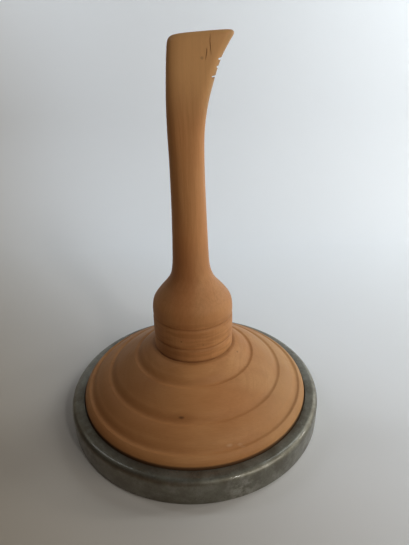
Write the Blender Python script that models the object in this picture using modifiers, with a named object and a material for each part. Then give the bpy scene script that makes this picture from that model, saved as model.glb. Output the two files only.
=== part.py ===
"""Wooden ice stock: a turned body in a steel ring, with a carved handle bolted on from below.

The stock stands on its running sole, with the origin at the centre of the sliding face and +Z up.
The hook at the top of the handle points along +X. Lengths below are in millimetres, and MM turns
them into Blender's metres.
"""

import math

import bmesh
import bpy
from mathutils import Vector

MM = 0.001
CLEARANCE = 0.3  # gap kept between pieces that touch
TURN_STEPS = 60  # facets round each large turned piece, the same on all so that facets line up
SMALL_STEPS = 20  # facets round fasteners and their holes
OVERRUN = 5.0  # how far a cutter runs past the wall it cuts, or a joined piece into its neighbour

# Overall sizes
RING_RADIUS = 135.0
RING_HEIGHT = 26.9
RING_WALL = 13.4
RING_TOP_ROUND = 6.0
RING_FOOT_ROUND = 1.5
RING_INNER_EDGE = 0.4
SOLE_THICKNESS = 8.0
SOLE_EDGE = 1.5
SOLE_GAP = 0.7  # between the rim of the sole and the ring
SOLE_PROUD = 1.2  # how far the sole stands below the ring

# Body
BODY_RADIUS = RING_RADIUS - RING_WALL - CLEARANCE
BODY_FOOT = SOLE_THICKNESS + CLEARANCE
SEAT_HEIGHT = 83.0
SEAT_RADIUS = 43.5
SEAT_ROUND = 0.8
CONE_FALL = 0.635  # drop of the cone for each millimetre outwards
COVES = ((54.8, 65.2), (82.9, 95.3), (106.6, 116.3))  # inner and outer radius of each cove
COVE_DEPTH = 1.6
COVE_LEAN = 1.1  # above 1 it puts the deepest line of a cove nearer its outer lip
COVE_CROWN = 0.5  # swell of the cone between two coves
COVE_STEPS = 6
ROLL_POINTS = ((117.9, 35.0), (119.4, 32.2), (120.2, 29.4), (120.5, 26.0), (BODY_RADIUS, 23.0))

# Handle
FOOT_HEIGHT = SEAT_HEIGHT + CLEARANCE
BULB_RADIUS = 41.0
BULB_TOP = 127.0
BULB_FLARE = 0.4  # the bulb is this much wider at its foot
BEAD_HEIGHTS = (97.4, 119.6)
BEAD_DEPTH = 0.7
BEAD_HALF_WIDTH = 4.0
SPIGOT_RADIUS = 20.0
SPIGOT_LENGTH = 12.0
LOFT_STEPS = 28
RINGS_PER_STATION = 2
# Each station: left x and z, right x and z, half depth, and how square the left and right halves are
SHOULDER_AND_SHAFT = (
    (-39.4, 135.5, 39.4, 135.5, 39.4, 2.0, 2.0),
    (-33.6, 144.3, 33.4, 144.3, 33.5, 2.0, 2.0),
    (-26.2, 153.2, 25.7, 153.2, 26.0, 2.0, 2.0),
    (-21.2, 161.2, 21.0, 161.2, 21.0, 2.0, 2.0),
    (-19.0, 171.0, 18.3, 171.0, 18.6, 2.0, 2.0),
    (-18.0, 186.0, 17.2, 186.0, 17.4, 2.0, 2.0),
    (-17.0, 225.0, 15.8, 225.0, 16.2, 2.1, 2.1),
    (-16.8, 265.0, 14.8, 265.0, 15.6, 2.3, 2.3),
    (-17.2, 296.0, 15.2, 296.0, 15.2, 2.7, 2.9),
    (-17.1, 318.0, 18.2, 318.0, 14.8, 3.2, 3.9),
    (-16.3, 336.0, 23.3, 337.0, 14.4, 3.8, 5.2),
    (-15.3, 351.0, 28.9, 353.0, 14.0, 4.3, 6.2),
    (-14.0, 364.0, 35.4, 364.5, 13.4, 4.5, 6.4),
    (-12.6, 368.0, 39.0, 370.2, 12.4, 4.2, 5.8),
    (-9.8, 370.1, 38.2, 373.0, 10.6, 3.8, 4.8),
    (-5.0, 371.2, 34.0, 373.6, 7.6, 3.4, 4.0),
)
NICK_PLACES = ((29.6, 353.4), (27.2, 347.4), (24.2, 340.4))  # on the inner edge of the hook
NICK_DEPTHS = (3.2, 2.0, 3.0)
NICK_WIDTH = 1.4
NICK_TILT = math.radians(-12)

# Fasteners
HOLE_SPARE = 1.5  # depth of a blind hole past the end of what it holds
BOLT_RADIUS = 6.0
BOLT_HOLE_RADIUS = 7.0
BOLT_HEAD_FLATS = 18.0
BOLT_HEAD_HEIGHT = 7.5
BOLT_HEAD_FOOT = 20.5
BOLT_TIP = 107.0
BOLT_CHAMFER = 1.0
COUNTERBORE_RADIUS = 19.0
FLAT_WASHER = (6.6, 18.0, 2.5)  # inner radius, outer radius, thickness
SPRING_WASHER = (6.5, 10.6, 3.0)
WASHER_EDGE = 0.5
SPRING_SPLIT = 1.6
SPRING_SPLIT_LEAN = math.radians(25)
INSERT_RADIUS = 10.0
INSERT_BORE = 6.3
INSERT_LENGTH = 38.0
INSERT_RECESS = 1.0
INSERT_RIDGE = 0.7
INSERT_RIDGES = 8
DOWEL_RADIUS = 4.0
DOWEL_LENGTH = 26.0
DOWEL_PLACE = 31.0
DOWEL_CHAMFER = 0.8
SCREW_CIRCLE = 100.0
SCREW_COUNT = 8
SCREW_HEAD_RADIUS = 4.2
SCREW_SHANK_RADIUS = 2.2
SCREW_HEAD_DEPTH = 2.6
SCREW_SINK = 0.6
SCREW_LENGTH = 28.0
SCREW_POINT = 4.0
SCREW_HOLE_STEPS = 12
SLOT_WIDTH = 1.0
SLOT_DEPTH = 1.2
SLOT_TURN = math.radians(37)
PLUG_SINK = 1.0
PLUG_TOP = 15.0
PLUG_EDGE = 0.8

# Colours: base colour, roughness and metallic value
WOOD_BODY = ((0.56, 0.31, 0.15), 0.5, 0.0)
WOOD_HANDLE = ((0.52, 0.28, 0.13), 0.5, 0.0)
WOOD_DOWEL = ((0.68, 0.48, 0.28), 0.6, 0.0)
STEEL_RING = ((0.36, 0.36, 0.33), 0.38, 1.0)
STEEL_ZINC = ((0.62, 0.63, 0.64), 0.35, 1.0)
BRASS = ((0.72, 0.53, 0.22), 0.35, 1.0)
PLASTIC_SOLE = ((0.05, 0.05, 0.055), 0.45, 0.0)


def material(name, look):
    """A Principled material with the given base colour, roughness and metallic value."""
    colour, roughness, metallic = look
    made = bpy.data.materials.new(name)
    made.use_nodes = True
    shader = made.node_tree.nodes["Principled BSDF"]
    shader.inputs["Base Color"].default_value = (*colour, 1.0)
    shader.inputs["Roughness"].default_value = roughness
    shader.inputs["Metallic"].default_value = metallic
    made.diffuse_color = (*colour, 1.0)
    return made


def add_object(name, mesh, collection, look=None):
    """Puts a mesh in the scene, smooth shaded, with its own material if it has a look."""
    obj = bpy.data.objects.new(name, mesh)
    collection.objects.link(obj)
    for face in mesh.polygons:
        face.use_smooth = True
    if look:
        mesh.materials.append(material(name, look))
    return obj


def turned(name, profile, collection, look=None, steps=TURN_STEPS):
    """A turned piece: the profile, listed as (radius, height) from top to foot, screwed round Z."""
    mesh = bpy.data.meshes.new(name)
    points = [(radius * MM, 0.0, height * MM) for radius, height in profile]
    edges = [(i, (i + 1) % len(points)) for i in range(len(points))]
    if profile[0][0] == 0.0:
        edges.pop()
    mesh.from_pydata(points, edges, [])
    obj = add_object(name, mesh, collection, look)
    screw = obj.modifiers.new("turn", "SCREW")
    screw.steps = screw.render_steps = steps
    screw.use_merge_vertices = True
    screw.merge_threshold = 0.00001
    screw.use_smooth_shade = True
    return obj


def arc(centre, radius, start, end, count):
    """Points on an arc in the profile plane, with angles in degrees from the radial direction."""
    angles = [math.radians(start + (end - start) * i / count) for i in range(count + 1)]
    return [(centre[0] + radius * math.cos(a), centre[1] + radius * math.sin(a)) for a in angles]


def cylinder(name, radius, low, high, collection, look=None, steps=SMALL_STEPS, x=0.0, y=0.0):
    """A plain upright cylinder between two heights."""
    mesh = bpy.data.meshes.new(name)
    form = bmesh.new()
    bmesh.ops.create_cone(form, cap_ends=True, segments=steps, radius1=radius * MM,
                          radius2=radius * MM, depth=(high - low) * MM)
    form.to_mesh(mesh)
    form.free()
    obj = add_object(name, mesh, collection, look)
    obj.location = (x * MM, y * MM, (low + high) / 2 * MM)
    return obj


def box(name, sides, place, collection):
    """A plain box of the given sides, centred on a place."""
    mesh = bpy.data.meshes.new(name)
    form = bmesh.new()
    bmesh.ops.create_cube(form, size=MM)
    bmesh.ops.scale(form, vec=sides, verts=form.verts)
    form.to_mesh(mesh)
    form.free()
    obj = add_object(name, mesh, collection)
    obj.location = Vector(place) * MM
    return obj


def as_cutter(obj):
    obj.hide_render = True
    obj.display_type = "WIRE"
    return obj


def cut(obj, cutter):
    """Takes the cutter's shape out of the object."""
    boolean = obj.modifiers.new(cutter.name, "BOOLEAN")
    boolean.operation = "DIFFERENCE"
    boolean.object = as_cutter(cutter)


def join(obj, other):
    """Joins another shape on to the object."""
    boolean = obj.modifiers.new(other.name, "BOOLEAN")
    boolean.operation = "UNION"
    boolean.object = as_cutter(other)


def around(count, radius):
    """The places of a number of equal pieces on a circle, as (number, x, y)."""
    for i in range(count):
        angle = 2 * math.pi * (i + 0.5) / count
        yield i + 1, radius * math.cos(angle), radius * math.sin(angle)


def cone_height(radius):
    """Height of the body's plain cone, without coves."""
    return SEAT_HEIGHT - CONE_FALL * (radius - SEAT_RADIUS)


def cove_depth(share):
    """How deep a cove is at a share of its width from the inner edge, with no sharp edges."""
    return COVE_DEPTH * math.sin(math.pi * share ** COVE_LEAN) ** 2


def body_profile():
    """The outer line of the body from the seat to the foot of the rim."""
    line = [(0.0, SEAT_HEIGHT), (SEAT_RADIUS - SEAT_ROUND, SEAT_HEIGHT)]
    line.append((SEAT_RADIUS + SEAT_ROUND, cone_height(SEAT_RADIUS + SEAT_ROUND)))
    inner = SEAT_RADIUS
    for start, lip in COVES:
        middle = (inner + start) / 2
        line.append((middle, cone_height(middle) + COVE_CROWN))
        for i in range(COVE_STEPS + 1):
            share = i / COVE_STEPS
            radius = start + (lip - start) * share
            line.append((radius, cone_height(radius) - cove_depth(share)))
        inner = lip
    return [*line, *ROLL_POINTS, (BODY_RADIUS, BODY_FOOT), (0.0, BODY_FOOT)]


def make_body(parts, cutters):
    body = turned("body", body_profile(), parts, WOOD_BODY)
    top = SEAT_HEIGHT + OVERRUN
    bolt_stack = BOLT_HEAD_HEIGHT + SPRING_WASHER[2] + FLAT_WASHER[2] + 3 * CLEARANCE
    cut(body, cylinder("body_bolt_hole", BOLT_HOLE_RADIUS, 0, top, cutters))
    cut(body, cylinder("body_counterbore", COUNTERBORE_RADIUS, 0, BOLT_HEAD_FOOT + bolt_stack,
                       cutters))
    cut(body, cylinder("body_socket", SPIGOT_RADIUS + CLEARANCE, SEAT_HEIGHT - SPIGOT_LENGTH,
                       top, cutters))
    for side in (-1, 1):
        cut(body, cylinder(f"body_dowel_hole_{side}", DOWEL_RADIUS + CLEARANCE,
                           SEAT_HEIGHT - DOWEL_LENGTH / 2 - HOLE_SPARE, top, cutters,
                           x=side * DOWEL_PLACE))
    for number, x, y in around(SCREW_COUNT, SCREW_CIRCLE):
        cut(body, cylinder(f"body_screw_hole_{number}", SCREW_SHANK_RADIUS + CLEARANCE, 0,
                           SCREW_SINK + SCREW_LENGTH + HOLE_SPARE, cutters,
                           steps=SCREW_HOLE_STEPS, x=x, y=y))


def make_ring(parts):
    low, high = SOLE_PROUD, SOLE_PROUD + RING_HEIGHT
    inner = RING_RADIUS - RING_WALL
    top = arc((RING_RADIUS - RING_TOP_ROUND, high - RING_TOP_ROUND), RING_TOP_ROUND, 90, 0, 6)
    foot = arc((RING_RADIUS - RING_FOOT_ROUND, low + RING_FOOT_ROUND), RING_FOOT_ROUND, 0, -90, 3)
    profile = [(inner, high - RING_INNER_EDGE), (inner + RING_INNER_EDGE, high), *top, *foot,
               (inner, low)]
    turned("steel_ring", profile, parts, STEEL_RING)


def section(left, right, half_depth, square_left, square_right):
    """One closed loop of the handle: two halves of superellipses between its left and right points."""
    centre = (left + right) / 2
    reach = (right - left) / 2
    loop = []
    for i in range(LOFT_STEPS):
        angle = 2 * math.pi * i / LOFT_STEPS
        c, s = math.cos(angle), math.sin(angle)
        squareness = square_right if c > 0 else square_left
        along = math.copysign(abs(c) ** (2 / squareness), c)
        across = math.copysign(abs(s) ** (2 / squareness), s)
        loop.append(centre + reach * along + Vector((0.0, half_depth * across, 0.0)))
    return loop


def smooth_between(before, a, b, after, t):
    """A Catmull-Rom step from a to b, on tuples of numbers."""
    return tuple(
        0.5 * (2 * q + (r - p) * t + (2 * p - 5 * q + 4 * r - s) * t ** 2
               + (3 * q - p - 3 * r + s) * t ** 3)
        for p, q, r, s in zip(before, a, b, after)
    )


def bulb_radius(height):
    """Radius of the turned bulb, with its two shallow grooves."""
    groove = sum(math.exp(-((height - bead) / (BEAD_HALF_WIDTH / 2)) ** 2) for bead in BEAD_HEIGHTS)
    flare = BULB_FLARE * (BULB_TOP - height) / (BULB_TOP - FOOT_HEIGHT)
    return BULB_RADIUS + flare - BEAD_DEPTH * groove


def handle_sections():
    """All loops of the handle from its foot to the top of its head."""
    bulb = []
    heights = [FOOT_HEIGHT]
    for bead in BEAD_HEIGHTS:
        heights += [bead + BEAD_HALF_WIDTH * k / 2 for k in range(-2, 3)]
    heights.append(BULB_TOP)
    for height in heights:
        radius = bulb_radius(height)
        bulb.append((-radius, height, radius, height, radius, 2.0, 2.0))
    stations = [bulb[-2], bulb[-1], *SHOULDER_AND_SHAFT]
    stations.append(stations[-1])
    loops = bulb[:-1]
    for i in range(1, len(stations) - 2):
        for k in range(RINGS_PER_STATION):
            loops.append(smooth_between(*stations[i - 1:i + 3], k / RINGS_PER_STATION))
    loops.append(stations[-1])
    return [section(Vector((xl, 0.0, zl)), Vector((xr, 0.0, zr)), depth, square_left, square_right)
            for xl, zl, xr, zr, depth, square_left, square_right in loops]


def make_handle(parts, cutters):
    loops = handle_sections()
    form = bmesh.new()
    rings = [[form.verts.new(point * MM) for point in loop] for loop in loops]
    for lower, upper in zip(rings, rings[1:]):
        for i in range(LOFT_STEPS):
            j = (i + 1) % LOFT_STEPS
            form.faces.new((lower[i], lower[j], upper[j], upper[i]))
    form.faces.new(rings[0][::-1])
    form.faces.new(rings[-1])
    mesh = bpy.data.meshes.new("handle")
    form.to_mesh(mesh)
    form.free()
    handle = add_object("handle", mesh, parts, WOOD_HANDLE)
    spigot_foot = FOOT_HEIGHT - SPIGOT_LENGTH
    join(handle, cylinder("handle_spigot", SPIGOT_RADIUS, spigot_foot, FOOT_HEIGHT + OVERRUN,
                          cutters))
    cut(handle, cylinder("handle_insert_hole", INSERT_RADIUS + CLEARANCE, spigot_foot - OVERRUN,
                         spigot_foot + INSERT_RECESS + INSERT_LENGTH + HOLE_SPARE, cutters))
    for side in (-1, 1):
        cut(handle, cylinder(f"handle_dowel_hole_{side}", DOWEL_RADIUS + CLEARANCE,
                             FOOT_HEIGHT - OVERRUN, FOOT_HEIGHT + DOWEL_LENGTH / 2 + HOLE_SPARE,
                             cutters, x=side * DOWEL_PLACE))
    for number, (place, depth) in enumerate(zip(NICK_PLACES, NICK_DEPTHS), 1):
        nick = box(f"handle_nick_{number}", (2 * depth, 2 * BULB_RADIUS, NICK_WIDTH),
                   (place[0], 0.0, place[1]), cutters)
        nick.rotation_euler.y = NICK_TILT
        cut(handle, nick)


def make_insert(parts):
    low = FOOT_HEIGHT - SPIGOT_LENGTH + INSERT_RECESS
    high = low + INSERT_LENGTH
    root = INSERT_RADIUS - INSERT_RIDGE
    pitch = INSERT_LENGTH / INSERT_RIDGES
    outer = [(root, high)]
    for i in range(INSERT_RIDGES - 1, 0, -1):
        outer.append((INSERT_RADIUS, low + i * pitch + INSERT_RIDGE))
        outer.append((root, low + i * pitch - INSERT_RIDGE))
    turned("handle_insert", [(INSERT_BORE, high), *outer, (root, low), (INSERT_BORE, low)],
           parts, BRASS, SMALL_STEPS)


def make_bolt(parts, cutters):
    """The bolt's hexagon head, with its shank joined on."""
    head_top = BOLT_HEAD_FOOT + BOLT_HEAD_HEIGHT
    bolt = cylinder("tie_bolt", BOLT_HEAD_FLATS / 2 / math.cos(math.pi / 6), BOLT_HEAD_FOOT,
                    head_top, parts, STEEL_ZINC, steps=6)
    root = head_top - OVERRUN
    profile = [(0.0, BOLT_TIP), (BOLT_RADIUS - BOLT_CHAMFER, BOLT_TIP),
               (BOLT_RADIUS, BOLT_TIP - BOLT_CHAMFER), (BOLT_RADIUS, root), (0.0, root)]
    join(bolt, turned("tie_bolt_shank", profile, cutters, steps=SMALL_STEPS))


def make_washers(parts, cutters):
    spring_foot = BOLT_HEAD_FOOT + BOLT_HEAD_HEIGHT + CLEARANCE
    inner, outer, thickness = SPRING_WASHER
    top = spring_foot + thickness
    spring = turned("spring_washer", [(inner, top), (outer, top), (outer, spring_foot),
                                      (inner, spring_foot)], parts, STEEL_ZINC, SMALL_STEPS)
    split = box("spring_washer_split", (SPRING_SPLIT, 2 * (outer - inner), 2 * outer),
                (0.0, -(inner + outer) / 2, (spring_foot + top) / 2), cutters)
    split.rotation_euler.y = SPRING_SPLIT_LEAN
    cut(spring, split)
    flat_foot = top + CLEARANCE
    inner, outer, thickness = FLAT_WASHER
    top = flat_foot + thickness
    turned("flat_washer", [(inner, top), (outer - WASHER_EDGE, top), (outer, top - WASHER_EDGE),
                           (outer, flat_foot), (inner, flat_foot)], parts, STEEL_ZINC)


def make_dowels(parts):
    for number, side in enumerate((-1, 1), 1):
        top = SEAT_HEIGHT + DOWEL_LENGTH / 2
        foot = SEAT_HEIGHT - DOWEL_LENGTH / 2
        end = DOWEL_RADIUS - DOWEL_CHAMFER
        profile = [(0.0, top), (end, top), (DOWEL_RADIUS, top - DOWEL_CHAMFER),
                   (DOWEL_RADIUS, foot + DOWEL_CHAMFER), (end, foot), (0.0, foot)]
        dowel = turned(f"anti_turn_dowel_{number}", profile, parts, WOOD_DOWEL, SMALL_STEPS)
        dowel.location.x = side * DOWEL_PLACE * MM


def make_sole(parts, cutters):
    radius = RING_RADIUS - RING_WALL - SOLE_GAP
    profile = [(COUNTERBORE_RADIUS, SOLE_THICKNESS), (radius, SOLE_THICKNESS),
               (radius, SOLE_EDGE), (radius - SOLE_EDGE, 0.0), (COUNTERBORE_RADIUS, 0.0)]
    sole = turned("running_sole", profile, parts, PLASTIC_SOLE)
    head = SCREW_HEAD_RADIUS + CLEARANCE
    shank = SCREW_SHANK_RADIUS + CLEARANCE
    top = SOLE_THICKNESS + OVERRUN
    hole_profile = [(0.0, top), (shank, top), (shank, SCREW_SINK + SCREW_HEAD_DEPTH),
                    (head, SCREW_SINK), (head, -OVERRUN), (0.0, -OVERRUN)]
    for number, x, y in around(SCREW_COUNT, SCREW_CIRCLE):
        hole = turned(f"sole_screw_hole_{number}", hole_profile, cutters, steps=SMALL_STEPS)
        hole.location = (x * MM, y * MM, 0.0)
        hole.rotation_euler.z = SLOT_TURN * number
        cut(sole, hole)


def make_screws(parts, cutters):
    """Slotted countersunk screws, driven upwards through the sole."""
    point = SCREW_SINK + SCREW_LENGTH
    profile = [(0.0, point), (SCREW_SHANK_RADIUS, point - SCREW_POINT),
               (SCREW_SHANK_RADIUS, SCREW_SINK + SCREW_HEAD_DEPTH),
               (SCREW_HEAD_RADIUS, SCREW_SINK), (0.0, SCREW_SINK)]
    for number, x, y in around(SCREW_COUNT, SCREW_CIRCLE):
        screw = turned(f"sole_screw_{number}", profile, parts, STEEL_ZINC, SMALL_STEPS)
        screw.location = (x * MM, y * MM, 0.0)
        slot = box(f"sole_screw_slot_{number}",
                   (3 * SCREW_HEAD_RADIUS, SLOT_WIDTH, 2 * SLOT_DEPTH),
                   (x, y, SCREW_SINK), cutters)
        slot.rotation_euler.z = SLOT_TURN * number
        cut(screw, slot)


def make_plug(parts):
    radius = COUNTERBORE_RADIUS - CLEARANCE
    profile = [(0.0, PLUG_TOP), (radius - PLUG_EDGE, PLUG_TOP), (radius, PLUG_TOP - PLUG_EDGE),
               (radius, PLUG_SINK + PLUG_EDGE), (radius - PLUG_EDGE, PLUG_SINK), (0.0, PLUG_SINK)]
    turned("sole_plug", profile, parts, PLASTIC_SOLE)


def main():
    for obj in list(bpy.data.objects):
        bpy.data.objects.remove(obj)
    parts = bpy.data.collections.new("ice_stock")
    cutters = bpy.data.collections.new("cutters")
    for collection in (parts, cutters):
        bpy.context.scene.collection.children.link(collection)
    cutters.hide_render = True
    make_ring(parts)
    make_body(parts, cutters)
    make_handle(parts, cutters)
    make_insert(parts)
    make_bolt(parts, cutters)
    make_washers(parts, cutters)
    make_dowels(parts)
    make_sole(parts, cutters)
    make_screws(parts, cutters)
    make_plug(parts)


main()
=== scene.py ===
"""Looks of the wooden ice stock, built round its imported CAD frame.

The steel ring, the turned body, the carved handle and the running sole are rebuilt here on the
outlines of their CAD nodes with many more facets, and stand for those nodes. The fasteners and the
plug keep their CAD meshes. Every piece has a procedural material. Lengths are in millimetres, and MM
turns them into the frame's metres. Heights count from the sliding face, and the hook points along +X.
"""

import math

import bmesh
import bpy
from mathutils import Matrix, Vector


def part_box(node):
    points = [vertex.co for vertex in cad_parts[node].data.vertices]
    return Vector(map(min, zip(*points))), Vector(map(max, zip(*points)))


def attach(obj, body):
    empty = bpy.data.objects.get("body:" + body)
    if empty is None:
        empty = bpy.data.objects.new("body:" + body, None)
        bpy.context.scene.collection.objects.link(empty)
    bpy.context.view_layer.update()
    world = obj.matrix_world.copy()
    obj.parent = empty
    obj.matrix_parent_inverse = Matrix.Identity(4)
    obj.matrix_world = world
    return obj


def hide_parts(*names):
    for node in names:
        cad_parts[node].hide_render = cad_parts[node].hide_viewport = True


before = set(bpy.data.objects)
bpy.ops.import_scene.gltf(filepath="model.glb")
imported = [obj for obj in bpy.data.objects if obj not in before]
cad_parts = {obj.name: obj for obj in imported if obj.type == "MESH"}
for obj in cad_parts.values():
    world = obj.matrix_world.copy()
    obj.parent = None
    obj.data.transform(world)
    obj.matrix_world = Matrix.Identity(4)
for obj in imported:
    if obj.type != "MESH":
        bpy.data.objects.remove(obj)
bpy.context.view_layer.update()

MM = 0.001
CLEARANCE = 0.3  # gap between pieces that touch
OVERRUN = 5.0  # how far a cutter runs past the wall it cuts
SHARP_ANGLE = math.radians(32)  # an edge that turns more than this is shaded as a crease

# Facets
TURN_STEPS = 288
SMALL_STEPS = 48
COVE_STEPS = 20
CONE_STEPS = 6
LOFT_STEPS = 112
RINGS_PER_STATION = 10
TOP_ROUND_STEPS = 16
FOOT_ROUND_STEPS = 6
INNER_EDGE_STEPS = 4

# Ring
RING_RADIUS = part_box("steel_ring")[1].x / MM
RING_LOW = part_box("steel_ring")[0].z / MM
RING_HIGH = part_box("steel_ring")[1].z / MM
RING_WALL = 13.4
RING_TOP_ROUND = 6.0
RING_FOOT_ROUND = 1.5
RING_INNER_EDGE = 0.5

# Body
BODY_RADIUS = RING_RADIUS - RING_WALL - CLEARANCE
BODY_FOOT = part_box("body")[0].z / MM
SEAT_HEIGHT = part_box("body")[1].z / MM
SEAT_RADIUS = 43.5
SEAT_ROUND = 0.8  # how far the edge of the seat is rounded
CONE_FALL = 0.635  # drop of the cone for each millimetre outwards
COVES = ((53.4, 64.8), (82.5, 94.3), (105.3, 115.8))  # inner and outer radius of each cove
COVE_DEPTH = 2.4
COVE_LEAN = 1.35  # above 1 it puts the deepest line of a cove nearer its outer lip
COVE_CROWN = 0.7  # swell of the cone between two coves
# Radius and height of points down the rolled rim
ROLL_POINTS = ((118.0, 35.2), (119.6, 32.9), (120.6, 30.0), (121.0, 26.5), (BODY_RADIUS, 23.0))
ROLL_STEPS = 5

# Handle
FOOT_HEIGHT = SEAT_HEIGHT + CLEARANCE
BULB_RADIUS = 41.0
BULB_TOP = 127.0
BULB_FLARE = 0.4  # how much wider the bulb is at its foot
BEAD_HEIGHTS = (97.4, 119.6)
BEAD_DEPTH = 0.9
BEAD_HALF_WIDTH = 3.0
BULB_RING_HEIGHT = 0.6  # height of each row of facets on the bulb
SPIGOT_RADIUS = 20.0
SPIGOT_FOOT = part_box("handle")[0].z / MM
# Each station: x and z of its left point, x and z of its right point, half its depth, and how square
# its left and right halves are, where 2 is an ellipse
SHOULDER_AND_SHAFT = (
    (-39.4, 135.5, 39.4, 135.5, 39.4, 2.0, 2.0),
    (-33.6, 144.3, 33.4, 144.3, 33.5, 2.0, 2.0),
    (-26.2, 153.2, 25.7, 153.2, 26.0, 2.0, 2.0),
    (-21.2, 161.2, 21.0, 161.2, 21.0, 2.0, 2.0),
    (-19.0, 171.0, 18.3, 171.0, 18.6, 2.0, 2.0),
    (-18.0, 186.0, 17.2, 186.0, 17.4, 2.0, 2.0),
    (-17.0, 225.0, 15.8, 225.0, 16.2, 2.1, 2.1),
    (-16.8, 265.0, 14.8, 265.0, 15.6, 2.3, 2.3),
    (-17.2, 296.0, 15.2, 296.0, 15.2, 2.7, 2.9),
    (-17.1, 318.0, 18.2, 318.0, 14.8, 3.2, 3.9),
    (-16.3, 336.0, 23.3, 337.0, 14.4, 3.8, 5.2),
    (-15.3, 351.0, 28.9, 353.0, 14.0, 4.3, 6.2),
    (-14.0, 364.0, 35.4, 364.5, 13.4, 4.5, 6.4),
    (-12.6, 368.0, 39.0, 370.2, 12.4, 4.2, 5.8),
    (-9.8, 370.1, 38.2, 373.0, 10.6, 3.8, 4.8),
    (-5.0, 371.2, 34.0, 373.6, 7.6, 3.4, 4.0),
)
HOOK_FOOT = (15.2, 296.0)  # x and z where the right edge of the handle starts to bend out
HOOK_TIP = (39.0, 370.2)
HOOK_CURVE = 1.6
CAP_RINGS = 5
CAP_RISE = 0.4
NICK_PLACES = ((29.6, 353.4), (27.2, 347.4), (24.2, 340.4))  # x and z, on the inside of the hook
NICK_DEPTHS = (3.2, 2.0, 3.0)
NICK_WIDTH = 1.4
NICK_TILT = math.radians(-12)
CRACKS = ((20.2, 355.0, 370.5), (16.8, 352.0, 361.0))  # x, low end and high end, in the front of the head
CRACK_WIDTH = 1.0
CRACK_DEPTH = 2.5
CRACK_STEPS = 10
CRACK_SWAY = 0.35
CRACK_BENDS = 5.0  # how much of a wave a crack makes from end to end, in radians
CRACK_TIP = 0.04  # the share of a full half wave that each end of a crack leaves out

# Bores and holes, as in the CAD pieces that go in them
BOLT_HOLE_RADIUS = 7.0
COUNTERBORE_RADIUS = 19.0
COUNTERBORE_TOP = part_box("flat_washer")[1].z / MM + CLEARANCE
INSERT_HOLE_RADIUS = 10.3
INSERT_HOLE_SPARE = 1.5
INSERT_HOLE_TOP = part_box("handle_insert")[1].z / MM + INSERT_HOLE_SPARE
DOWEL_HOLE_RADIUS = 4.3
DOWEL_PLACE = 31.0
DOWEL_HOLE_HALF = 14.5
SCREW_CIRCLE = 100.0
SCREW_COUNT = 8
SCREW_HOLE_RADIUS = 2.5
SCREW_HEAD_HOLE = 4.5
SCREW_SINK = 0.6
SCREW_HEAD_DEPTH = 2.6
SCREW_HOLE_TOP = 30.1

# Sole
SOLE_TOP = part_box("running_sole")[1].z / MM
SOLE_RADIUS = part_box("running_sole")[1].x / MM
SOLE_EDGE = 1.5

# Marks in the wood
BODY_KNOT = (-14.1, -86.2, 55.0)
BODY_SPECK = (44.6, -21.0, 79.2)
BODY_DENTS = ((40.4, -105.6, 38.7), (30.3, -107.3, 39.8))
HANDLE_KNOTS = (  # place, reach and strength
    ((13.5, -13.0, 353.5), 2.0, 0.4),
    ((-12.0, -39.0, 107.0), 1.4, 0.5),
    ((9.0, -40.0, 103.0), 1.1, 0.45),
)
GROWTH_WARP = 26.0  # how far the growth rings wander from true circles
GROWTH_SPREAD = 3.0  # how many rings they run ahead or behind, where growth was fast or slow
SPOT_CORE = 0.3  # the share of a spot's reach that is at full strength

# Wood colours. All colours here are linear.
PALE_WOOD = (0.60, 0.31, 0.125)
BARE_WOOD = (0.80, 0.60, 0.38)
BODY_LATE_WOOD = (0.38, 0.160, 0.055)
BODY_RED_WOOD = (0.50, 0.215, 0.075)
BODY_WARM = (0.52, 0.215, 0.07)
# Painted shade at the front left, painted light on the right and painted shade on the left of the body
BODY_FRONT_LEFT_SHADE = (0.34, 0.135, 0.045)
BODY_LIT_RIGHT = (0.56, 0.335, 0.155)
BODY_SHADED_LEFT = (0.38, 0.165, 0.055)
# Painted shade with some grime in the coves and round the seat
BODY_SHADE_AND_GRIME = (0.26, 0.105, 0.035)
# Painted shade with some dirt, for the gap at the ring
GAP_SHADE_AND_DIRT = (0.045, 0.025, 0.014)
KNOT_RIM = (0.30, 0.115, 0.035)
KNOT_HEART = (0.09, 0.04, 0.018)
DARK_SPECK = (0.14, 0.06, 0.025)
HANDLE_LATE_WOOD = (0.38, 0.165, 0.058)
HANDLE_RED_WOOD = (0.52, 0.23, 0.085)
HANDLE_STREAK = (0.38, 0.16, 0.052)
HANDLE_KNOT = (0.12, 0.05, 0.02)
BULB_WARM = (0.64, 0.285, 0.10)
BULB_BAND = (0.36, 0.145, 0.045)
RED_VEIN = (0.45, 0.15, 0.045)
HEAD_PALE = (0.86, 0.48, 0.20)
GRIP_RED = (0.66, 0.28, 0.095)
HOOK_EDGE_GREY = (0.36, 0.215, 0.095)
NICK_SIDE_DARK = (0.20, 0.115, 0.055)
# Painted shade with some dirt in the bulb's grooves and round the handle's foot
FOOT_SHADE_AND_DIRT = (0.20, 0.075, 0.025)

# Steel colours
STEEL_DARK = (0.165, 0.150, 0.112)
STEEL_LIGHT = (0.262, 0.252, 0.205)
STEEL_BLOTCH = (0.35, 0.345, 0.31)
STEEL_RUBBED = (0.50, 0.49, 0.43)
STEEL_GRAIN = (0.11, 0.105, 0.08)
STEEL_PIT = (0.05, 0.042, 0.03)
# Painted shade and dark reflection on the ring's left
STEEL_SHADED_BROWN = (0.13, 0.10, 0.065)

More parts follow.
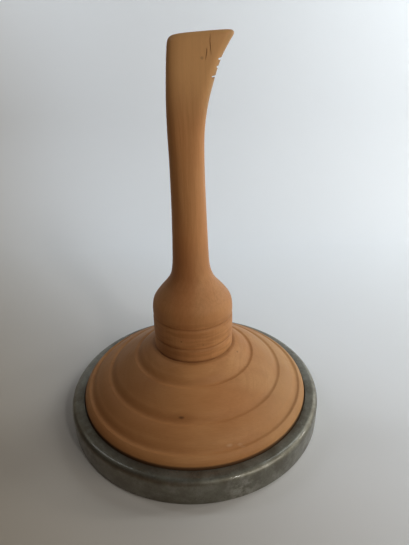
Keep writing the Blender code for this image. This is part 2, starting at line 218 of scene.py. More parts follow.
# Paper and room
# Painted shade on the near left of the paper
PAPER_SHADED_WARM = (0.45, 0.37, 0.27)
PAPER_COOL = (0.93, 0.96, 1.0)
PAPER_CLOUD = (0.70, 0.69, 0.67)
PAPER_ROUGHNESS = 0.8
ROOM_LIGHT = (0.020, 0.017, 0.014, 1.0)
ROOM_SEEN = (0.42, 0.42, 0.42, 1.0)
STUDIO_HALF_WIDTH = 2200.0
STUDIO_FRONT = -1600.0
STUDIO_BEND = 470.0
STUDIO_ROUND = 250.0
STUDIO_HEIGHT = 640.0
STUDIO_STEPS = 24

# Lights: name, place, target, size, power and colour, in metres and watts
MIDDLE = (0.0, 0.0, 0.13)
WINDOW = (0.7, 0.8)
PANE = (0.09, 0.20)
STRIP = (0.7, 0.3)
DAYLIGHT = (1.0, 0.97, 0.90)
CLEAR_LIGHT = (1.0, 0.99, 0.95)
LIGHTS = (
    ("window_front", (1.07, -0.80, 0.72), MIDDLE, WINDOW, 5.3, DAYLIGHT),
    ("window_side", (1.11, 0.58, 0.62), MIDDLE, WINDOW, 2.5, DAYLIGHT),
    ("pane_high", (0.50, -0.83, 0.88), MIDDLE, PANE, 1.6, CLEAR_LIGHT),
    ("pane_side", (1.21, 0.03, 0.46), MIDDLE, PANE, 2.0, CLEAR_LIGHT),
    ("wall_wash_right", (0.70, 0.25, 0.85), (0.60, 0.66, 0.30), STRIP, 2.8, (0.88, 0.96, 1.0)),
    ("wall_wash_left", (-0.70, 0.25, 0.95), (-0.62, 0.72, 0.62), STRIP, 3.2, (0.90, 0.96, 1.0)),
    ("room_fill", (-0.60, -1.4, 0.45), MIDDLE, (2.2, 1.5), 1.0, (1.0, 0.60, 0.36)),
)

# Camera, in metres
CAMERA_PLACE = (0.0, -0.38464, 0.34351)
CAMERA_LENS = 28.07
CAMERA_PAN = math.radians(-1.92)
CAMERA_TILT = math.radians(90 - 25.24)  # 90 is level
CAMERA_ROLL = math.radians(-1.03)


def new_piece(name, form, node=None):
    """Makes a piece of a bmesh, smooth shaded, and ties it to the frame when it stands for a node."""
    bmesh.ops.recalc_face_normals(form, faces=form.faces)
    mesh = bpy.data.meshes.new(name)
    form.to_mesh(mesh)
    form.free()
    mesh.shade_smooth()
    piece = bpy.data.objects.new(name, mesh)
    bpy.context.scene.collection.objects.link(piece)
    if node:
        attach(piece, "root")
        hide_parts(node)
    return piece


def turned(profile, steps, closed=False):
    """A bmesh of a profile, listed as (radius, height) from top to foot, turned round Z."""
    form = bmesh.new()
    rings = []
    for radius, height in profile:
        count = steps if radius else 1
        angles = [2 * math.pi * k / count for k in range(count)]
        rings.append([form.verts.new((radius * math.cos(a) * MM, radius * math.sin(a) * MM, height * MM))
                      for a in angles])
    pairs = list(zip(rings, rings[1:]))
    if closed:
        pairs.append((rings[-1], rings[0]))
    for upper, lower in pairs:
        for k in range(steps):
            loop = [upper[k % len(upper)], lower[k % len(lower)],
                    lower[(k + 1) % len(lower)], upper[(k + 1) % len(upper)]]
            form.faces.new(list(dict.fromkeys(loop)))
    return form


def arc(centre, radius, start, end, count):
    """Points on an arc in the profile plane, with angles in degrees from the radial direction."""
    angles = [math.radians(start + (end - start) * i / count) for i in range(count + 1)]
    return [(centre[0] + radius * math.cos(a), centre[1] + radius * math.sin(a)) for a in angles]


def smooth_between(before, a, b, after, t):
    """A Catmull-Rom step from a to b, on tuples of numbers."""
    return tuple(
        0.5 * (2 * q + (r - p) * t + (2 * p - 5 * q + 4 * r - s) * t ** 2
               + (3 * q - p - 3 * r + s) * t ** 3)
        for p, q, r, s in zip(before, a, b, after)
    )


def smooth_line(stations, steps):
    """The stations joined by a smooth line, with a number of steps between each two."""
    ends = [stations[0], *stations, stations[-1]]
    line = []
    for i in range(len(stations) - 1):
        for k in range(steps):
            line.append(smooth_between(*ends[i:i + 4], k / steps))
    return [*line, stations[-1]]


def upright(name, radius, low, high, x=0.0, y=0.0):
    """A cutter: an upright cylinder between two heights."""
    cutter = new_piece(name, turned([(0.0, high), (radius, high), (radius, low), (0.0, low)], SMALL_STEPS))
    cutter.location = (x * MM, y * MM, 0.0)
    return cutter


def combine(piece, other, operation):
    """Cuts the other shape out of the piece, or joins it on, and removes the other."""
    boolean = piece.modifiers.new(other.name, "BOOLEAN")
    boolean.operation = operation
    boolean.object = other
    bpy.context.view_layer.update()
    graph = bpy.context.evaluated_depsgraph_get()
    mesh = bpy.data.meshes.new_from_object(piece.evaluated_get(graph))
    piece.modifiers.clear()
    old = piece.data
    piece.data = mesh
    mesh.name = old.name
    bpy.data.meshes.remove(old)
    bpy.data.objects.remove(other)


def crease(piece):
    """Shades every sharp edge of the piece as a crease."""
    piece.data.shade_smooth()
    piece.data.set_sharp_from_angle(angle=SHARP_ANGLE)


def around(count, radius):
    """The places of a number of equal pieces on a circle, as (x, y)."""
    for i in range(count):
        angle = 2 * math.pi * (i + 0.5) / count
        yield radius * math.cos(angle), radius * math.sin(angle)


def cone_height(radius):
    """Height of the body's plain cone, without coves."""
    return SEAT_HEIGHT - CONE_FALL * (radius - SEAT_RADIUS)


def cove_depth(share):
    """How deep a cove is at a share of its width from the inner edge, with no sharp edges."""
    return COVE_DEPTH * math.sin(math.pi * share ** COVE_LEAN) ** 2


def body_profile():
    """The outer line of the body from the seat to the foot of the rim."""
    line = [(0.0, SEAT_HEIGHT), (SEAT_RADIUS - SEAT_ROUND, SEAT_HEIGHT)]
    inner = SEAT_RADIUS + SEAT_ROUND
    for start, lip in COVES:
        for i in range(CONE_STEPS):
            share = i / CONE_STEPS
            radius = inner + (start - inner) * share
            line.append((radius, cone_height(radius) + 4 * COVE_CROWN * share * (1 - share)))
        for i in range(COVE_STEPS):
            share = i / COVE_STEPS
            radius = start + (lip - start) * share
            line.append((radius, cone_height(radius) - cove_depth(share)))
        inner = lip
    roll = [(inner, cone_height(inner)), *ROLL_POINTS]
    line += smooth_line(roll, ROLL_STEPS)
    return [*line, (BODY_RADIUS, BODY_FOOT), (0.0, BODY_FOOT)]


def make_body():
    body = new_piece("turned_body", turned(body_profile(), TURN_STEPS), "body")
    top = SEAT_HEIGHT + OVERRUN
    combine(body, upright("bolt_hole", BOLT_HOLE_RADIUS, 0.0, top), "DIFFERENCE")
    combine(body, upright("counterbore", COUNTERBORE_RADIUS, 0.0, COUNTERBORE_TOP), "DIFFERENCE")
    combine(body, upright("socket", SPIGOT_RADIUS + CLEARANCE, SPIGOT_FOOT - CLEARANCE, top), "DIFFERENCE")
    for side in (-1, 1):
        hole = upright("dowel_hole", DOWEL_HOLE_RADIUS, SEAT_HEIGHT - DOWEL_HOLE_HALF, top,
                       x=side * DOWEL_PLACE)
        combine(body, hole, "DIFFERENCE")
    for x, y in around(SCREW_COUNT, SCREW_CIRCLE):
        combine(body, upright("screw_hole", SCREW_HOLE_RADIUS, 0.0, SCREW_HOLE_TOP, x, y), "DIFFERENCE")
    crease(body)
    return body


def make_ring():
    inner = RING_RADIUS - RING_WALL
    top = arc((RING_RADIUS - RING_TOP_ROUND, RING_HIGH - RING_TOP_ROUND),
              RING_TOP_ROUND, 90, 0, TOP_ROUND_STEPS)
    foot = arc((RING_RADIUS - RING_FOOT_ROUND, RING_LOW + RING_FOOT_ROUND),
               RING_FOOT_ROUND, 0, -90, FOOT_ROUND_STEPS)
    edge = arc((inner + RING_INNER_EDGE, RING_HIGH - RING_INNER_EDGE),
               RING_INNER_EDGE, 180, 90, INNER_EDGE_STEPS)
    form = turned([*edge, *top, *foot, (inner, RING_LOW)], TURN_STEPS, closed=True)
    ring = new_piece("steel_hoop", form, "steel_ring")
    crease(ring)
    return ring


def section(left, right, half_depth, square_left, square_right, scale=1.0, rise=0.0):
    """One loop of the handle: two halves of superellipses between its left and right points."""
    centre = (left + right) / 2
    reach = (right - left) / 2
    loop = []
    for i in range(LOFT_STEPS):
        angle = 2 * math.pi * i / LOFT_STEPS
        c, s = math.cos(angle), math.sin(angle)
        squareness = square_right if c > 0 else square_left
        along = math.copysign(abs(c) ** (2 / squareness), c) * scale
        across = math.copysign(abs(s) ** (2 / squareness), s) * scale
        loop.append(centre + reach * along + Vector((0.0, half_depth * across, rise)))
    return loop


def bulb_radius(height):
    """Radius of the turned bulb, with its two shallow grooves."""
    groove = sum(math.exp(-((height - bead) / (BEAD_HALF_WIDTH / 2)) ** 2) for bead in BEAD_HEIGHTS)
    flare = BULB_FLARE * (BULB_TOP - height) / (BULB_TOP - FOOT_HEIGHT)
    return BULB_RADIUS + flare - BEAD_DEPTH * groove


def handle_loops():
    """All loops of the handle from its foot to the top of its head."""
    count = round((BULB_TOP - FOOT_HEIGHT) / BULB_RING_HEIGHT)
    stations = []
    for i in range(count):
        height = FOOT_HEIGHT + (BULB_TOP - FOOT_HEIGHT) * i / count
        radius = bulb_radius(height)
        stations.append((-radius, height, radius, height, radius, 2.0, 2.0))
    radius = bulb_radius(BULB_TOP)
    top = (-radius, BULB_TOP, radius, BULB_TOP, radius, 2.0, 2.0)
    stations += smooth_line([top, *SHOULDER_AND_SHAFT], RINGS_PER_STATION)
    loops = [section(Vector((xl, 0.0, zl)), Vector((xr, 0.0, zr)), *shape)
             for xl, zl, xr, zr, *shape in stations]
    xl, zl, xr, zr, *shape = SHOULDER_AND_SHAFT[-1]
    left, right = Vector((xl, 0.0, zl)), Vector((xr, 0.0, zr))
    for i in range(1, CAP_RINGS + 1):
        scale = 1 - i / (CAP_RINGS + 1)
        loops.append(section(left, right, *shape, scale, CAP_RISE * (1 - scale ** 2)))
    return loops


def half_depth_at(height):
    """How far the front of the handle is from its middle plane at a height."""
    for lower, upper in zip(SHOULDER_AND_SHAFT, SHOULDER_AND_SHAFT[1:]):
        if lower[3] <= height <= upper[3]:
            share = (height - lower[3]) / (upper[3] - lower[3])
            return lower[4] + (upper[4] - lower[4]) * share
    return SHOULDER_AND_SHAFT[-1][4]


def crack(x, low, high):
    """A cutter for a drying crack: an upright sliver with pointed ends, in the front of the head."""
    form = bmesh.new()
    loops = []
    for i in range(CRACK_STEPS + 1):
        share = i / CRACK_STEPS
        height = low + (high - low) * share
        centre = x + CRACK_SWAY * math.sin(CRACK_BENDS * share + x)
        half_width = CRACK_WIDTH / 2 * math.sin(math.pi * (CRACK_TIP + (1 - 2 * CRACK_TIP) * share))
        back = CRACK_DEPTH - half_depth_at(height)
        front = back - 2 * CRACK_DEPTH
        loops.append([form.verts.new((px * MM, py * MM, height * MM)) for px, py in (
            (centre - half_width, front), (centre + half_width, front), (centre, back))])
    for lower, upper in zip(loops, loops[1:]):
        for k in range(3):
            form.faces.new((lower[k], lower[(k + 1) % 3], upper[(k + 1) % 3], upper[k]))
    form.faces.new(loops[0])
    form.faces.new(loops[-1])
    return new_piece("crack", form)


def make_handle():
    form = bmesh.new()
    rings = [[form.verts.new(point * MM) for point in loop] for loop in handle_loops()]
    for lower, upper in zip(rings, rings[1:]):
        for i in range(LOFT_STEPS):
            j = (i + 1) % LOFT_STEPS
            form.faces.new((lower[i], lower[j], upper[j], upper[i]))
    form.faces.new(rings[0][::-1])
    form.faces.new(rings[-1])
    handle = new_piece("carved_handle", form, "handle")
    combine(handle, upright("spigot", SPIGOT_RADIUS, SPIGOT_FOOT, FOOT_HEIGHT + OVERRUN), "UNION")
    combine(handle, upright("insert_hole", INSERT_HOLE_RADIUS, SPIGOT_FOOT - OVERRUN, INSERT_HOLE_TOP),
            "DIFFERENCE")
    for side in (-1, 1):
        hole = upright("dowel_hole", DOWEL_HOLE_RADIUS, FOOT_HEIGHT - OVERRUN,
                       FOOT_HEIGHT + DOWEL_HOLE_HALF, x=side * DOWEL_PLACE)
        combine(handle, hole, "DIFFERENCE")
    for place, depth in zip(NICK_PLACES, NICK_DEPTHS):
        cutter = bmesh.new()
        bmesh.ops.create_cube(cutter, size=MM)
        bmesh.ops.scale(cutter, vec=(2 * depth, 2 * BULB_RADIUS, NICK_WIDTH), verts=cutter.verts)
        nick = new_piece("nick", cutter)
        nick.rotation_euler.y = NICK_TILT
        nick.location = (place[0] * MM, 0.0, place[1] * MM)
        combine(handle, nick, "DIFFERENCE")
    for x, low_end, high_end in CRACKS:
        combine(handle, crack(x, low_end, high_end), "DIFFERENCE")
    crease(handle)
    return handle


def make_sole():
    profile = [(COUNTERBORE_RADIUS, SOLE_TOP), (SOLE_RADIUS, SOLE_TOP)]
    profile += arc((SOLE_RADIUS - SOLE_EDGE, SOLE_EDGE), SOLE_EDGE, 0, -90, FOOT_ROUND_STEPS)
    profile.append((COUNTERBORE_RADIUS, 0.0))
    sole = new_piece("sliding_sole", turned(profile, TURN_STEPS, closed=True),
                     "running_sole")
    top = SOLE_TOP + OVERRUN
    hole_profile = [(0.0, top), (SCREW_HOLE_RADIUS, top),
                    (SCREW_HOLE_RADIUS, SCREW_SINK + SCREW_HEAD_DEPTH),
                    (SCREW_HEAD_HOLE, SCREW_SINK), (SCREW_HEAD_HOLE, -OVERRUN), (0.0, -OVERRUN)]
    for x, y in around(SCREW_COUNT, SCREW_CIRCLE):
        hole = new_piece("screw_hole", turned(hole_profile, SMALL_STEPS))
        hole.location = (x * MM, y * MM, 0.0)
        combine(sole, hole, "DIFFERENCE")
    crease(sole)
    return sole


class Look:
    """A material being made: short ways to add nodes to it, all on the object's own coordinates."""

    def __init__(self, name, metallic=0.0, specular=0.5):
        self.material = bpy.data.materials.new(name)
        self.material.use_nodes = True
        self.tree = self.material.node_tree
        self.shader = self.tree.nodes["Principled BSDF"]
        self.shader.inputs["Metallic"].default_value = metallic
        self.shader.inputs["Specular IOR Level"].default_value = specular
        coordinates = self.tree.nodes.new("ShaderNodeTexCoord")
        self.place = self.vector("SCALE", coordinates.outputs["Object"], factor=1 / MM)
        self.x, self.y, self.z = self.split(self.place)

    def feed(self, socket, value):
        """Links a socket's value, or sets a plain one."""
        if isinstance(value, bpy.types.NodeSocket):
            self.tree.links.new(value, socket)
        elif isinstance(value, tuple) and len(value) == 3 and socket.type == "RGBA":
            socket.default_value = (*value, 1.0)
        else:
            socket.default_value = value

    def vector(self, operation, a, b=None, factor=None):
        node = self.tree.nodes.new("ShaderNodeVectorMath")
        node.operation = operation
        self.feed(node.inputs[0], a)
        if b is not None:
            self.feed(node.inputs[1], b)
        if factor is not None:
            self.feed(node.inputs["Scale"], factor)
        return node.outputs["Value" if operation == "LENGTH" else "Vector"]

    def split(self, vector):
        node = self.tree.nodes.new("ShaderNodeSeparateXYZ")
        self.feed(node.inputs[0], vector)
        return node.outputs[0], node.outputs[1], node.outputs[2]

    def join(self, x, y, z):
        node = self.tree.nodes.new("ShaderNodeCombineXYZ")
        for socket, value in zip(node.inputs, (x, y, z)):
            self.feed(socket, value)
        return node.outputs[0]

    def math(self, operation, *values, clamp=False):
        node = self.tree.nodes.new("ShaderNodeMath")
        node.operation = operation
        node.use_clamp = clamp
        for socket, value in zip(node.inputs, values):
            self.feed(socket, value)
        return node.outputs[0]

    def add(self, a, b, clamp=False):
        return self.math("ADD", a, b, clamp=clamp)

    def times(self, a, b):
        return self.math("MULTIPLY", a, b)

    def length(self, a, b):
        """Length of the flat vector (a, b)."""
        return self.math("SQRT", self.add(self.times(a, a), self.times(b, b)))

    def along_grain(self, along, across, share):
        """A place whose step along the grain counts for a share only, which draws noise out that way."""
        return self.join(self.times(along, share), *across)

    def noise(self, place, scale, detail=2.0, roughness=0.5, colour=False, line=False):
        """Noise of a size of 1 / scale. A line is noise along one number."""
        node = self.tree.nodes.new("ShaderNodeTexNoise")
        node.noise_dimensions = "1D" if line else "3D"
        self.feed(node.inputs["W" if line else "Vector"], place)
        node.inputs["Scale"].default_value = scale
        node.inputs["Detail"].default_value = detail
        node.inputs["Roughness"].default_value = roughness
        return node.outputs["Color" if colour else "Fac"]

    def between(self, value, low, high, start=0.0, end=1.0):
        """A smooth step from start to end as the value goes from low to high."""
        node = self.tree.nodes.new("ShaderNodeMapRange")
        node.interpolation_type = "SMOOTHSTEP"
        for socket, number in zip(node.inputs, (value, low, high, start, end)):
            self.feed(socket, number)
        return node.outputs[0]

    def mix(self, share, a, b):
        """Colour a and b mixed by a share from 0 to 1."""
        node = self.tree.nodes.new("ShaderNodeMix")
        node.data_type = "RGBA"
        sockets = {s.identifier: s for s in node.inputs}
        self.feed(sockets["Factor_Float"], share)
        self.feed(sockets["A_Color"], a)
        self.feed(sockets["B_Color"], b)
        return {s.identifier: s for s in node.outputs}["Result_Color"]

    def tint(self, colour, where, strength, tone):
        """The colour with a tone laid over it, where the mask is 1, at a strength."""
        return self.mix(self.times(where, strength), colour, tone)

    def spot(self, centre, reach, stretch=(1.0, 1.0, 1.0)):
        """1 at a place, fading to 0 at a distance. A stretch below 1 makes it longer that way."""
        away = self.vector("MULTIPLY", self.vector("SUBTRACT", self.place, centre), stretch)
        return self.between(self.vector("LENGTH", away), reach * SPOT_CORE, reach, 1.0, 0.0)

    def sum(self, masks):
        total = masks[0]
        for mask in masks[1:]:
            total = self.add(total, mask)
        return total

    def finish(self, colour, roughness, bumps):
        """Feeds the shader. Each bump is (height from 0 to 1, its depth in millimetres)."""
        self.feed(self.shader.inputs["Base Color"], colour)
        self.feed(self.shader.inputs["Roughness"], roughness)
        normal = None
        for height, depth in bumps:
            node = self.tree.nodes.new("ShaderNodeBump")
            node.inputs["Distance"].default_value = depth * MM
            self.feed(node.inputs["Height"], height)
            if normal is not None:
                self.feed(node.inputs["Normal"], normal)
            normal = node.outputs[0]
        self.feed(self.shader.inputs["Normal"], normal)
        return self.material


def wood(look, along, across, pith, ring_width, ring_strength, light, dark, red):
    """The shared part of an oiled hardwood: its colour, its fine fibre and its pores.

    along and across are the coordinates along and across the grain, and pith is the middle of the
    growth rings, across it. light is the plain wood, dark the late wood, and red its broad streaks.
    """
    warp = look.noise(look.along_grain(along, across, 0.35), 0.012, 3.0, colour=True)
    warp = look.vector("SUBTRACT", warp, (0.5, 0.5, 0.5))
    warp_u, warp_v, _ = look.split(look.vector("SCALE", warp, factor=GROWTH_WARP))
    reach = look.length(look.add(look.math("SUBTRACT", across[0], pith[0]), warp_u),
                        look.add(look.math("SUBTRACT", across[1], pith[1]), warp_v))
    spread = look.noise(reach, 0.11, 2.0, line=True)
    count = look.add(look.math("DIVIDE", reach, ring_width), look.times(spread, GROWTH_SPREAD))
    phase = look.math("FRACT", count)
    rise = look.between(phase, 0.25, 0.9)
    fall = look.between(phase, 0.92, 1.0, 1.0, 0.0)
    weight = look.between(look.noise(reach, 0.06, 1.0, line=True), 0.3, 0.7, 0.25, 1.0)
    late = look.times(look.times(rise, fall), weight)
    fibre = look.noise(look.along_grain(along, across, 0.035), 1.1, 4.0, 0.62)
    flecks = look.noise(look.along_grain(along, across, 0.16), 1.3, 1.0)
    pores = look.between(flecks, 0.60, 0.72)
    broad = look.noise(look.along_grain(along, across, 0.5), 0.017, 3.0)
    mottle = look.noise(look.along_grain(along, across, 0.4), 0.07, 3.0, 0.6)
    colour = look.mix(look.times(late, ring_strength), light, dark)
    colour = look.mix(look.between(broad, 0.35, 0.65, 0.0, 0.85), colour, red)
    colour = look.mix(look.between(mottle, 0.45, 0.72, 0.0, 0.30), colour, dark)
    colour = look.mix(look.between(fibre, 0.35, 0.7, 0.0, 0.28), colour, dark)
    colour = look.tint(colour, pores, 0.14, dark)
    return colour, fibre, pores


def oiled_roughness(look, pores):
    """Roughness of oiled wood: smudged by hands, and duller in the pores."""
    smudge = look.noise(look.place, 0.03, 4.0, 0.6)
    return look.add(look.between(smudge, 0.3, 0.7, 0.48, 0.60), look.times(pores, 0.12))


def body_wood():
    look = Look("oiled_body_wood", specular=0.2)
    colour, fibre, pores = wood(look, look.x, (look.y, look.z), (28.0, -110.0), 3.2, 0.30,
                                PALE_WOOD, BODY_LATE_WOOD, BODY_RED_WOOD)
    reach = look.length(look.x, look.y)
    colour = look.tint(colour, look.spot((-30.0, -60.0, 60.0), 90.0), 0.45, BODY_WARM)
    # Painted shade at the front left and on the left, and painted light on the right, where the light
    # falls from
    colour = look.tint(colour, look.spot((-66.0, -82.0, 48.0), 75.0), 0.35, BODY_FRONT_LEFT_SHADE)
    colour = look.mix(look.between(look.x, 30.0, 110.0, 0.0, 0.5), colour, BODY_LIT_RIGHT)
    colour = look.mix(look.between(look.x, 15.0, -90.0, 0.0, 0.55), colour, BODY_SHADED_LEFT)
    # Painted shade with some grime in the coves, and painted shade where the handle sits on the body
    bands = []
    for start, lip in COVES:
        middle = (start + lip) / 2
        bands.append(look.times(look.between(reach, start + 2.0, middle),
                                look.between(reach, middle, lip - 1.0, 1.0, 0.0)))
    seat_shade = look.between(reach, SEAT_RADIUS + 2.0, SEAT_RADIUS - 0.5)
    patch = look.between(look.noise(look.place, 0.06, 3.0), 0.3, 0.7, 0.5, 1.0)
    shade_and_dirt = look.times(look.add(look.times(look.sum(bands), 0.15), seat_shade, clamp=True), patch)
    colour = look.tint(colour, shade_and_dirt, 0.6, BODY_SHADE_AND_GRIME)
    colour = look.tint(colour, look.spot(BODY_KNOT, 9.0, (0.5, 1.0, 1.6)), 0.28, KNOT_RIM)
    colour = look.tint(colour, look.spot(BODY_KNOT, 2.6, (0.6, 1.0, 1.4)), 0.75, KNOT_HEART)
    colour = look.tint(colour, look.spot(BODY_SPECK, 1.8), 0.6, DARK_SPECK)
    for dent in BODY_DENTS:
        colour = look.tint(colour, look.spot(dent, 3.2, (0.6, 1.0, 1.5)), 0.4, BARE_WOOD)
    # Painted shade with some dirt in the gap between the wood and the ring
    gap_shade = look.between(reach, BODY_RADIUS - 1.1, BODY_RADIUS - 0.5)
    colour = look.tint(colour, gap_shade, 0.85, GAP_SHADE_AND_DIRT)
    turning = look.noise(reach, 1.6, 2.0, line=True)
    return look.finish(colour, oiled_roughness(look, pores),
                       [(fibre, 0.08), (turning, 0.05), (pores, -0.04)])


def inside_hook(look):
    """How far a point is inside the right edge of the hooked head, in millimetres."""
    rise = look.math("DIVIDE", look.math("SUBTRACT", look.z, HOOK_FOOT[1]), HOOK_TIP[1] - HOOK_FOOT[1])
    share = look.math("POWER", look.math("MAXIMUM", rise, 0.0), HOOK_CURVE)
    edge = look.add(look.times(share, HOOK_TIP[0] - HOOK_FOOT[0]), HOOK_FOOT[0])
    return look.math("SUBTRACT", edge, look.x)


def handle_wood():
    look = Look("oiled_handle_wood", specular=0.25)
    colour, fibre, pores = wood(look, look.z, (look.x, look.y), (-60.0, 40.0), 3.4, 0.42,
                                PALE_WOOD, HANDLE_LATE_WOOD, HANDLE_RED_WOOD)

    # Streaks up the shaft, which fade on the turned foot, and bands across that
    drum = look.between(look.z, BULB_TOP + 4.0, BULB_TOP - 4.0)
    strands = look.noise(look.along_grain(look.z, (look.x, look.y), 0.02), 0.45, 3.0, 0.55)
    shown = look.between(look.z, BULB_TOP - 6.0, BULB_TOP + 20.0, 0.25, 1.0)
    streaks = look.times(look.between(strands, 0.40, 0.66, 0.0, 0.32), shown)
    colour = look.mix(streaks, colour, HANDLE_STREAK)
    colour = look.tint(colour, look.between(look.z, 165.0, 125.0), 0.30, BULB_WARM)
    wave_place = look.join(look.times(look.x, 0.14), look.times(look.y, 0.14), look.z)
    waves = look.between(look.noise(wave_place, 0.24, 3.0, 0.6), 0.42, 0.62)
    colour = look.mix(look.times(look.times(drum, 0.42), waves), colour, BULB_BAND)
    colour = look.tint(colour, look.spot((-9.0, -30.0, 165.0), 60.0, (3.2, 0.7, 0.75)), 0.42, RED_VEIN)

    # A paler head, a redder grip, and darker wood just inside the hook's edge and beside the nicks
    colour = look.tint(colour, look.between(look.z, 295.0, 350.0), 0.6, HEAD_PALE)
    grip = look.times(look.between(look.z, 175.0, 210.0), look.between(look.z, 330.0, 290.0))
    colour = look.tint(colour, grip, 0.35, GRIP_RED)
    inside = inside_hook(look)
    inside_edge = look.times(look.between(inside, 6.0, 1.0), look.between(look.z, 300.0, 325.0))
    colour = look.tint(colour, inside_edge, 0.5, HOOK_EDGE_GREY)
    middle_nick = (NICK_PLACES[1][0], 0.0, NICK_PLACES[1][1])
    beside_nicks = look.times(look.between(inside, 4.5, 1.5),
                              look.spot(middle_nick, 16.0, (0.5, 0.3, 1.0)))
    colour = look.tint(colour, beside_nicks, 0.5, NICK_SIDE_DARK)

    # Painted shade with some dirt in the grooves and round the foot, painted shade at the foot's left,
    # then knots
    bands = [look.between(look.math("ABSOLUTE", look.math("SUBTRACT", look.z, height)),
                          0.4, BEAD_HALF_WIDTH * 0.8, 1.0, 0.0) for height in BEAD_HEIGHTS]
    grooves = look.times(look.sum(bands), look.times(drum, 0.22))
    foot = look.times(look.between(look.z, FOOT_HEIGHT + 3.0, FOOT_HEIGHT), 0.65)
    left_foot_shade = look.times(look.spot((-27.0, -30.0, 88.0), 24.0, (0.8, 1.0, 1.2)), 0.38)
    shade_and_dirt = look.add(grooves, look.add(foot, left_foot_shade), clamp=True)
    colour = look.mix(shade_and_dirt, colour, FOOT_SHADE_AND_DIRT)
    for place, reach, strength in HANDLE_KNOTS:
        colour = look.tint(colour, look.spot(place, reach), strength, HANDLE_KNOT)

    turning = look.times(look.noise(look.z, 1.5, 2.0, line=True), drum)
    return look.finish(colour, oiled_roughness(look, pores),
                       [(fibre, 0.08), (turning, 0.06), (pores, -0.04)])


def ring_steel():
    look = Look("handled_steel", metallic=1.0)
    look.shader.inputs["Coat Weight"].default_value = 0.5
    look.shader.inputs["Coat Roughness"].default_value = 0.09
    cloud = look.noise(look.place, 0.034, 4.0, 0.6)
    blotch = look.noise(look.place, 0.11, 5.0, 0.7)
    fine = look.noise(look.place, 0.7, 3.0, 0.7)
    specks = look.noise(look.place, 0.9, 2.0)
    colour = look.mix(look.between(cloud, 0.36, 0.64), STEEL_DARK, STEEL_LIGHT)
    colour = look.mix(look.between(blotch, 0.48, 0.72, 0.0, 0.45), colour, STEEL_BLOTCH)
    rubbed = look.times(look.spot((39.0, -129.0, 9.0), 20.0), look.between(blotch, 0.40, 0.60))
    colour = look.tint(colour, rubbed, 0.6, STEEL_RUBBED)
    colour = look.mix(look.between(fine, 0.5, 0.75, 0.0, 0.4), colour, STEEL_GRAIN)
    colour = look.mix(look.between(specks, 0.68, 0.76, 0.0, 0.7), colour, STEEL_PIT)
    # Painted shade and painted dark reflection: browner and darker on the left and front of the ring
    left_shade = look.times(look.between(look.x, 20.0, -110.0), look.between(look.y, 60.0, -80.0))
    colour = look.tint(colour, left_shade, 0.5, STEEL_SHADED_BROWN)
    roughness = look.add(look.between(blotch, 0.3, 0.7, 0.52, 0.40), look.times(fine, 0.14))
    reach = look.length(look.x, look.y)
    turning = look.add(look.noise(look.z, 2.2, 2.0, line=True), look.noise(reach, 2.2, 2.0, line=True))
    return look.finish(colour, roughness, [(turning, 0.015), (fine, 0.03), (specks, -0.03)])


def zinc_steel():
    look = Look("zinc_plate", metallic=1.0)
    patch = look.noise(look.place, 0.3, 4.0, 0.6)
    fine = look.noise(look.place, 2.5, 3.0)
    colour = look.mix(look.between(patch, 0.35, 0.65), (0.50, 0.51, 0.50), (0.66, 0.67, 0.69))
    roughness = look.between(fine, 0.3, 0.7, 0.26, 0.42)
    return look.finish(colour, roughness, [(fine, 0.02)])


def insert_brass():
    look = Look("turned_brass", metallic=1.0)
    patch = look.noise(look.place, 0.3, 4.0, 0.6)
    turning = look.noise(look.z, 3.0, 2.0, line=True)
    colour = look.mix(look.between(patch, 0.35, 0.65), (0.60, 0.42, 0.16), (0.76, 0.57, 0.26))
    roughness = look.between(turning, 0.3, 0.7, 0.26, 0.4)
    return look.finish(colour, roughness, [(turning, 0.03)])


def dowel_wood():
    look = Look("raw_beech")
    fibre = look.noise(look.along_grain(look.z, (look.x, look.y), 0.05), 1.6, 4.0, 0.6)
    flecks = look.noise(look.along_grain(look.z, (look.x, look.y), 0.2), 2.0, 1.0)
    colour = look.mix(look.between(fibre, 0.3, 0.7), (0.68, 0.48, 0.28), (0.52, 0.34, 0.18))
    colour = look.mix(look.between(flecks, 0.62, 0.74, 0.0, 0.5), colour, (0.38, 0.22, 0.11))
    roughness = look.between(fibre, 0.3, 0.7, 0.55, 0.7)
    return look.finish(colour, roughness, [(fibre, 0.08)])


def sole_plastic():
    look = Look("worn_plastic")
    scratches = look.noise(look.along_grain(look.x, (look.y, look.z), 0.02), 2.0, 2.0, 0.7)
    patch = look.noise(look.place, 0.04, 4.0, 0.6)
    colour = look.mix(look.between(patch, 0.35, 0.7), (0.035, 0.035, 0.038), (0.07, 0.068, 0.066))
    colour = look.mix(look.between(scratches, 0.62, 0.75, 0.0, 0.5), colour, (0.14, 0.135, 0.13))
    roughness = look.between(patch, 0.3, 0.7, 0.38, 0.55)
    return look.finish(colour, roughness, [(scratches, -0.06)])


def studio_paper():
    """Paper with painted shade: darker and warmer towards the near left, cool at the far right."""
    look = Look("pale_paper", specular=0.2)
    cloud = look.noise(look.place, 0.004, 3.0)
    tooth = look.noise(look.place, 0.9, 3.0)
    toward_light = look.add(look.times(look.y, 0.6), look.times(look.x, 0.85))
    colour = look.mix(look.between(toward_light, -400.0, 260.0), PAPER_SHADED_WARM, PAPER_COOL)
    colour = look.tint(colour, cloud, 0.06, PAPER_CLOUD)
    return look.finish(colour, PAPER_ROUGHNESS, [(tooth, 0.05)])


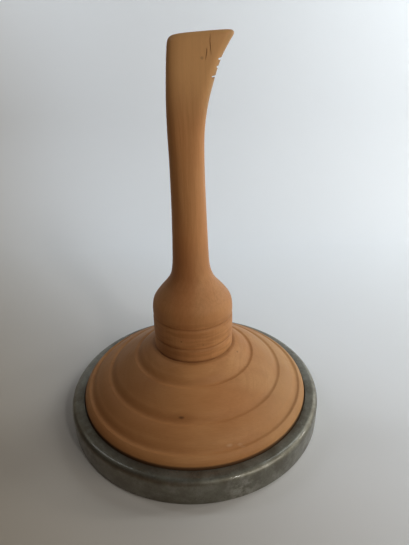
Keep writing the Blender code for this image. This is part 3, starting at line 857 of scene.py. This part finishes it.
def make_studio():
    """A pale floor that curves up into a backdrop well behind the stock."""
    form = bmesh.new()
    line = [(STUDIO_FRONT, 0.0), (STUDIO_BEND, 0.0)]
    line += [(STUDIO_BEND + STUDIO_ROUND * math.sin(a), STUDIO_ROUND * (1 - math.cos(a)))
             for a in [math.pi / 2 * k / STUDIO_STEPS for k in range(1, STUDIO_STEPS + 1)]]
    line.append((STUDIO_BEND + STUDIO_ROUND, STUDIO_HEIGHT))
    rows = [[form.verts.new((side * STUDIO_HALF_WIDTH * MM, y * MM, z * MM)) for side in (-1, 1)]
            for y, z in line]
    for near, far in zip(rows, rows[1:]):
        form.faces.new((near[0], near[1], far[1], far[0]))
    studio = new_piece("studio", form)
    studio.data.materials.append(studio_paper())


def make_light(name, place, target, size, power, colour):
    """A soft oblong light at a place, shining at a target."""
    lamp = bpy.data.lights.new(name, "AREA")
    lamp.shape = "RECTANGLE"
    lamp.size, lamp.size_y = size
    lamp.energy = power
    lamp.color = colour
    light = bpy.data.objects.new(name, lamp)
    bpy.context.scene.collection.objects.link(light)
    light.location = place
    light.rotation_mode = "QUATERNION"
    light.rotation_quaternion = (Vector(place) - Vector(target)).to_track_quat("Z", "Y")


def make_world():
    """A dim warm room. Past the edge of the paper a pale wall is seen, which sheds no light."""
    world = bpy.data.worlds.new("room")
    bpy.context.scene.world = world
    world.use_nodes = True
    tree = world.node_tree
    seen = tree.nodes.new("ShaderNodeLightPath").outputs["Is Camera Ray"]
    colour = tree.nodes.new("ShaderNodeMix")
    colour.data_type = "RGBA"
    sockets = {s.identifier: s for s in (*colour.inputs, *colour.outputs)}
    tree.links.new(seen, sockets["Factor_Float"])
    sockets["A_Color"].default_value = ROOM_LIGHT
    sockets["B_Color"].default_value = ROOM_SEEN
    tree.links.new(sockets["Result_Color"], tree.nodes["Background"].inputs["Color"])


def make_camera():
    data = bpy.data.cameras.new("camera")
    data.lens = CAMERA_LENS
    camera = bpy.data.objects.new("camera", data)
    bpy.context.scene.collection.objects.link(camera)
    camera.location = CAMERA_PLACE
    turn = (Matrix.Rotation(CAMERA_PAN, 4, "Z") @ Matrix.Rotation(CAMERA_TILT, 4, "X")
            @ Matrix.Rotation(CAMERA_ROLL, 4, "Z"))
    camera.rotation_mode = "QUATERNION"
    camera.rotation_quaternion = turn.to_quaternion()
    bpy.context.scene.camera = camera


def wear(piece, material):
    """Puts the material on the piece in place of what it has."""
    slots = piece.material_slots
    if not slots:
        piece.data.materials.append(material)
    for slot in slots:
        slot.material = material


make_camera()
make_world()
make_studio()
for light in LIGHTS:
    make_light(*light)
wear(make_ring(), ring_steel())
wear(make_body(), body_wood())
wear(make_handle(), handle_wood())
plastic = sole_plastic()
wear(make_sole(), plastic)
wear(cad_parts["sole_plug"], plastic)
wear(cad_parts["handle_insert"], insert_brass())
beech = dowel_wood()
zinc = zinc_steel()
for name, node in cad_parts.items():
    if name.startswith("anti_turn_dowel"):
        wear(node, beech)
    if name.startswith(("tie_bolt", "flat_washer", "spring_washer", "sole_screw")):
        wear(node, zinc)

bpy.context.scene.view_settings.view_transform = "Standard"
bpy.context.view_layer.update()
